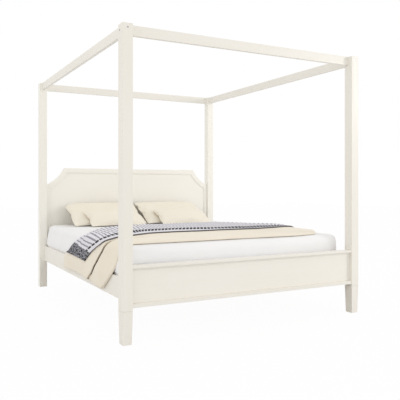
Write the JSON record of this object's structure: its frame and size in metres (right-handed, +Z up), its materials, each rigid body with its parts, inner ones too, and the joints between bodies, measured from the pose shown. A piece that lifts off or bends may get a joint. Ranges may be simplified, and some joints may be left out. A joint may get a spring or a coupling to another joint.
{
  "type": "four poster canopy bed",
  "caption": "Four poster canopy bed with scooped panel headboard, low footboard, slatted base, mattress, duvet, throw and pillows.",
  "frame": {"origin": "on the floor under the middle of the bed", "axes": "+Z up, +Y towards the headboard, +X to the right seen from the foot"},
  "size_m": [2.09, 2.21, 2.085],
  "materials": {
    "painted_wood": "satin cream paint",
    "painted_panel": "satin cream paint",
    "zinc_steel": "zinc plated",
    "plate_steel": "zinc plated sheet",
    "beech_dowel": "bare",
    "bare_pine": "planed, bare",
    "dark_plastic": "matte",
    "white_sheet": "smooth cotton",
    "cream_duvet": "soft cotton",
    "striped_throw": "woven stripes",
    "cream_pillow": "soft cotton"
  },
  "bodies": {
    "bed": {"post_foot_left": "painted_wood", "post_foot_right": "painted_wood", "post_head_left": "painted_wood", "post_head_right": "painted_wood", "post_glides": "dark_plastic", "canopy_rail_foot": "painted_wood", "canopy_rail_head": "painted_wood", "canopy_rail_left": "painted_wood", "canopy_rail_right": "painted_wood", "canopy_bolts": "zinc_steel", "canopy_barrel_nuts": "zinc_steel", "canopy_dowels": "beech_dowel", "headboard_top_rail": "painted_wood", "headboard_corner_left": "painted_wood", "headboard_corner_right": "painted_wood", "headboard_stile_left": "painted_wood", "headboard_stile_right": "painted_wood", "headboard_bottom_rail": "painted_wood", "headboard_panel": "painted_panel", "headboard_bead": "painted_wood", "headboard_dowels": "beech_dowel", "footboard_panel": "painted_panel", "footboard_cap": "painted_wood", "footboard_cove": "painted_wood", "footboard_strip_left": "painted_wood", "footboard_strip_right": "painted_wood", "footboard_base_moulding": "painted_wood", "footboard_dowels": "beech_dowel", "side_rail_left": "painted_wood", "side_rail_right": "painted_wood", "rail_hook_plates": "plate_steel", "post_slot_plates": "plate_steel", "plate_screws": "zinc_steel", "ledger_left": "bare_pine", "ledger_right": "bare_pine", "ledger_screws": "zinc_steel", "slats": "bare_pine", "slat_screws": "zinc_steel", "centre_beam": "bare_pine", "beam_brackets": "plate_steel", "bracket_screws": "zinc_steel", "centre_leg_middle": "bare_pine", "centre_leg_head": "bare_pine", "mattress": "white_sheet", "duvet": "cream_duvet", "throw": "striped_throw", "pillow_back_left": "cream_pillow", "pillow_back_right": "cream_pillow", "pillow_front_left": "cream_pillow", "pillow_front_right": "cream_pillow"},
    "leveller_middle": {"leveller_middle": "dark_plastic"},
    "leveller_head": {"leveller_head": "dark_plastic"}
  },
  "joints": [
    {"name": "leveller_middle_screw", "type": "slide", "parent": "bed", "child": "leveller_middle", "axis": [0, 0, -1], "range_m": [0, 0.015]},
    {"name": "leveller_head_screw", "type": "slide", "parent": "bed", "child": "leveller_head", "axis": [0, 0, -1], "range_m": [0, 0.015]}
  ]
}
